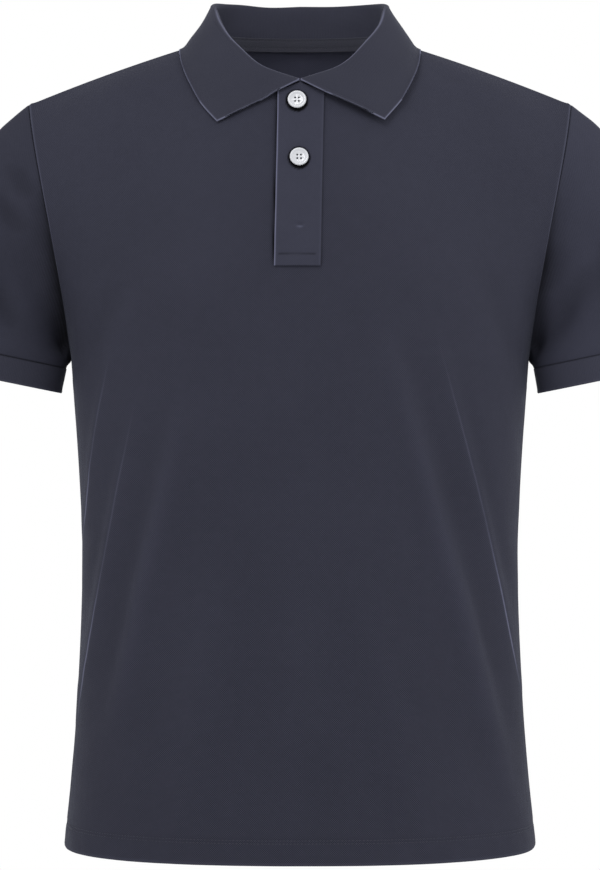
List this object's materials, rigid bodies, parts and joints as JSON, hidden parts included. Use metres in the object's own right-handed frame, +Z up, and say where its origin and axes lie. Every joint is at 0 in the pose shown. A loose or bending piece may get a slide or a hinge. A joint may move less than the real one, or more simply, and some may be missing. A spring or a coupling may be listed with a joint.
{
  "type": "short-sleeved polo shirt",
  "caption": "Men's navy pique polo shirt with short sleeves, rib collar and cuffs and a button placket, filled out as worn, with no wearer.",
  "frame": {"origin": "middle of the neck at the height of the shoulders' high points, where the wearer's shoulders hold the shirt up", "axes": "+Z up along the body, -Y the way the wearer faces, +X the wearer's left"},
  "size_m": [0.635, 0.245, 0.7163],
  "materials": {
    "navy_pique": "matt pique knit",
    "navy_rib": "matt flat-knit rib",
    "navy_tape": "matt woven tape",
    "white_button": "polished"
  },
  "bodies": {
    "root": {"front": "navy_pique", "back": "navy_pique", "sleeve_left": "navy_pique", "sleeve_right": "navy_pique", "cuff_left": "navy_rib", "cuff_right": "navy_rib", "collar": "navy_rib", "placket_upper": "navy_pique", "placket_under": "navy_pique", "neck_tape": "navy_tape", "button_top": "white_button", "button_lower": "white_button"}
  },
  "joints": []
}
